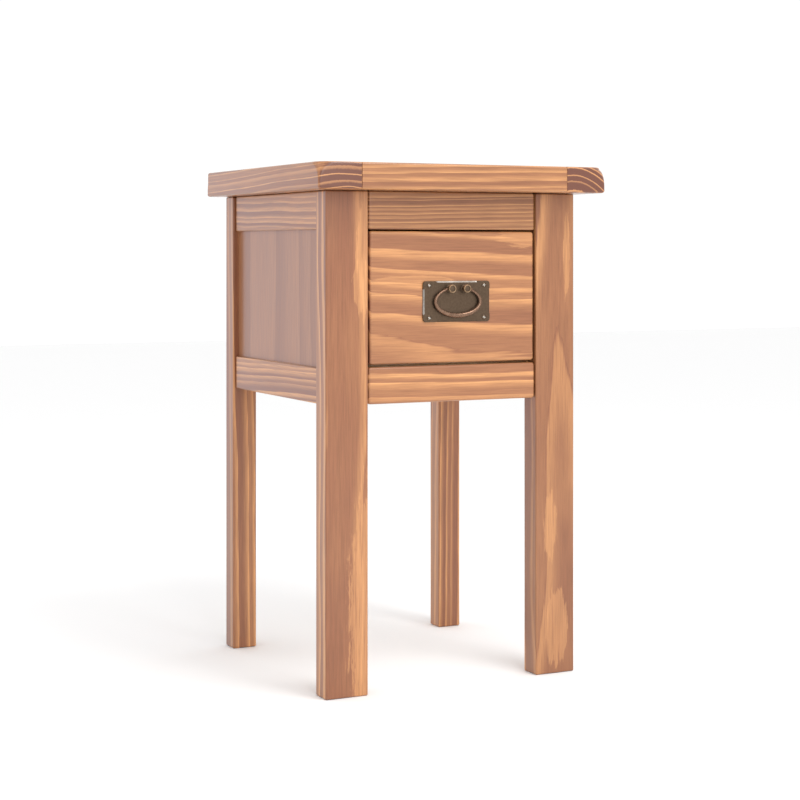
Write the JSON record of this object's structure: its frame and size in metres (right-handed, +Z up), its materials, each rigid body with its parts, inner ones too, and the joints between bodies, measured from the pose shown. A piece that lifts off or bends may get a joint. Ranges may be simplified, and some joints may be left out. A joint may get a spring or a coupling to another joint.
{
  "type": "side table with drawer",
  "caption": "Small square-legged pine side table with a thick overhanging top, panelled sides and back, and an inset drawer with a bail pull.",
  "frame": {"origin": "on the floor under the middle of the top", "axes": "+Z up; -Y is the front, where the drawer opens; +X is to the right for someone who faces the drawer"},
  "size_m": [0.4, 0.385, 0.65],
  "materials": {
    "stained_pine": "honey-brown stain under satin lacquer",
    "plain_pine": "planed pine, thin satin lacquer",
    "plywood": "sanded plywood, unfinished",
    "antique_brass": "dark antique patina rubbed bright on the edges",
    "zinc_steel": "zinc-plated fasteners"
  },
  "bodies": {
    "frame": {"back_panel": "plywood", "back_rail_lower": "stained_pine", "back_rail_upper": "stained_pine", "bearer_screw_1": "zinc_steel", "bearer_screw_2": "zinc_steel", "cleat_screw_1": "zinc_steel", "cleat_screw_2": "zinc_steel", "cleat_screw_3": "zinc_steel", "cleat_screw_4": "zinc_steel", "drawer_bearer": "plain_pine", "drawer_kicker_left": "plain_pine", "drawer_kicker_right": "plain_pine", "drawer_runner_left": "plain_pine", "drawer_runner_right": "plain_pine", "drawer_stop_left": "plain_pine", "drawer_stop_right": "plain_pine", "front_rail_lower": "stained_pine", "front_rail_upper": "stained_pine", "leg_front_left": "stained_pine", "leg_front_right": "stained_pine", "leg_rear_left": "stained_pine", "leg_rear_right": "stained_pine", "side_panel_left": "stained_pine", "side_panel_right": "stained_pine", "side_rail_lower_left": "stained_pine", "side_rail_lower_right": "stained_pine", "side_rail_upper_left": "stained_pine", "side_rail_upper_right": "stained_pine", "top_board_front": "stained_pine", "top_board_middle": "stained_pine", "top_board_rear": "stained_pine", "top_cleat_left": "plain_pine", "top_cleat_right": "plain_pine", "top_end_left": "stained_pine", "top_end_right": "stained_pine", "top_screw_1": "zinc_steel", "top_screw_2": "zinc_steel", "top_screw_3": "zinc_steel", "top_screw_4": "zinc_steel"},
    "drawer": {"drawer_back": "plain_pine", "drawer_bottom": "plywood", "drawer_dowel_1": "plain_pine", "drawer_dowel_2": "plain_pine", "drawer_dowel_3": "plain_pine", "drawer_dowel_4": "plain_pine", "drawer_front": "stained_pine", "drawer_side_left": "plain_pine", "drawer_side_right": "plain_pine", "pull_backplate": "antique_brass", "pull_nut_left": "zinc_steel", "pull_nut_right": "zinc_steel", "pull_post_left": "antique_brass", "pull_post_right": "antique_brass", "pull_screw_1": "antique_brass", "pull_screw_2": "antique_brass", "pull_screw_3": "antique_brass", "pull_screw_4": "antique_brass", "pull_washer_left": "zinc_steel", "pull_washer_right": "zinc_steel"},
    "bail": {"pull_bail": "antique_brass"}
  },
  "joints": [
    {"name": "drawer_slide", "type": "slide", "parent": "frame", "child": "drawer", "axis": [0, -1, 0], "range_m": [0, 0.22]},
    {"name": "bail_swing", "type": "hinge", "parent": "drawer", "child": "bail", "pos_m": [0.0033, -0.1608, 0.496], "axis": [-1, 0, 0], "range_deg": [0, 170]}
  ]
}
